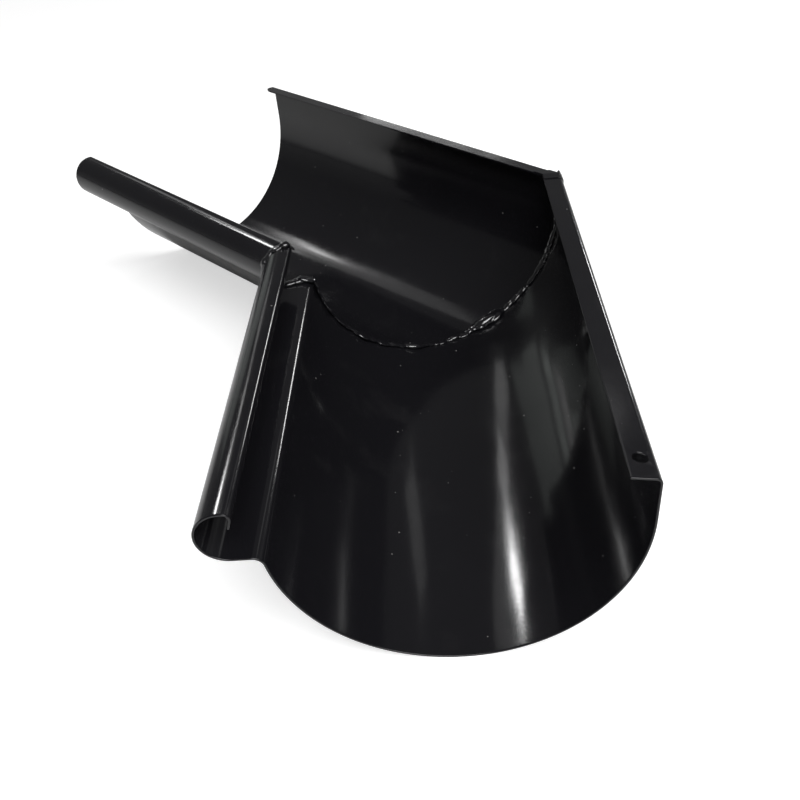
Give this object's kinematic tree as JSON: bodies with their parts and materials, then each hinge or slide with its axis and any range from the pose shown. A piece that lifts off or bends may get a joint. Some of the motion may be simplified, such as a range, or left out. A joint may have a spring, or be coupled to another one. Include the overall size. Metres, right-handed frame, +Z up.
{
  "type": "internal gutter corner",
  "caption": "Half-round steel gutter corner for an inside angle of a roof: two mitred, welded lengths with a rolled front bead and a folded rear flange, gloss black.",
  "frame": {"origin": "centre of the bounding box in plan, at the trough's lowest line", "axes": "+X across the corner towards the length with the hanging hole, +Y from the bead to the rim, +Z up, out of the trough"},
  "size_m": [0.3696, 0.1924, 0.0709],
  "materials": {
    "black_coat": "gloss black coat over galvanised steel sheet",
    "coated_weld": "gloss black coat over lumpy weld"
  },
  "bodies": {
    "root": {"right_length": "black_coat", "left_length": "black_coat", "trough_weld": "coated_weld", "bead_weld": "coated_weld", "rim_weld": "coated_weld"}
  },
  "joints": []
}
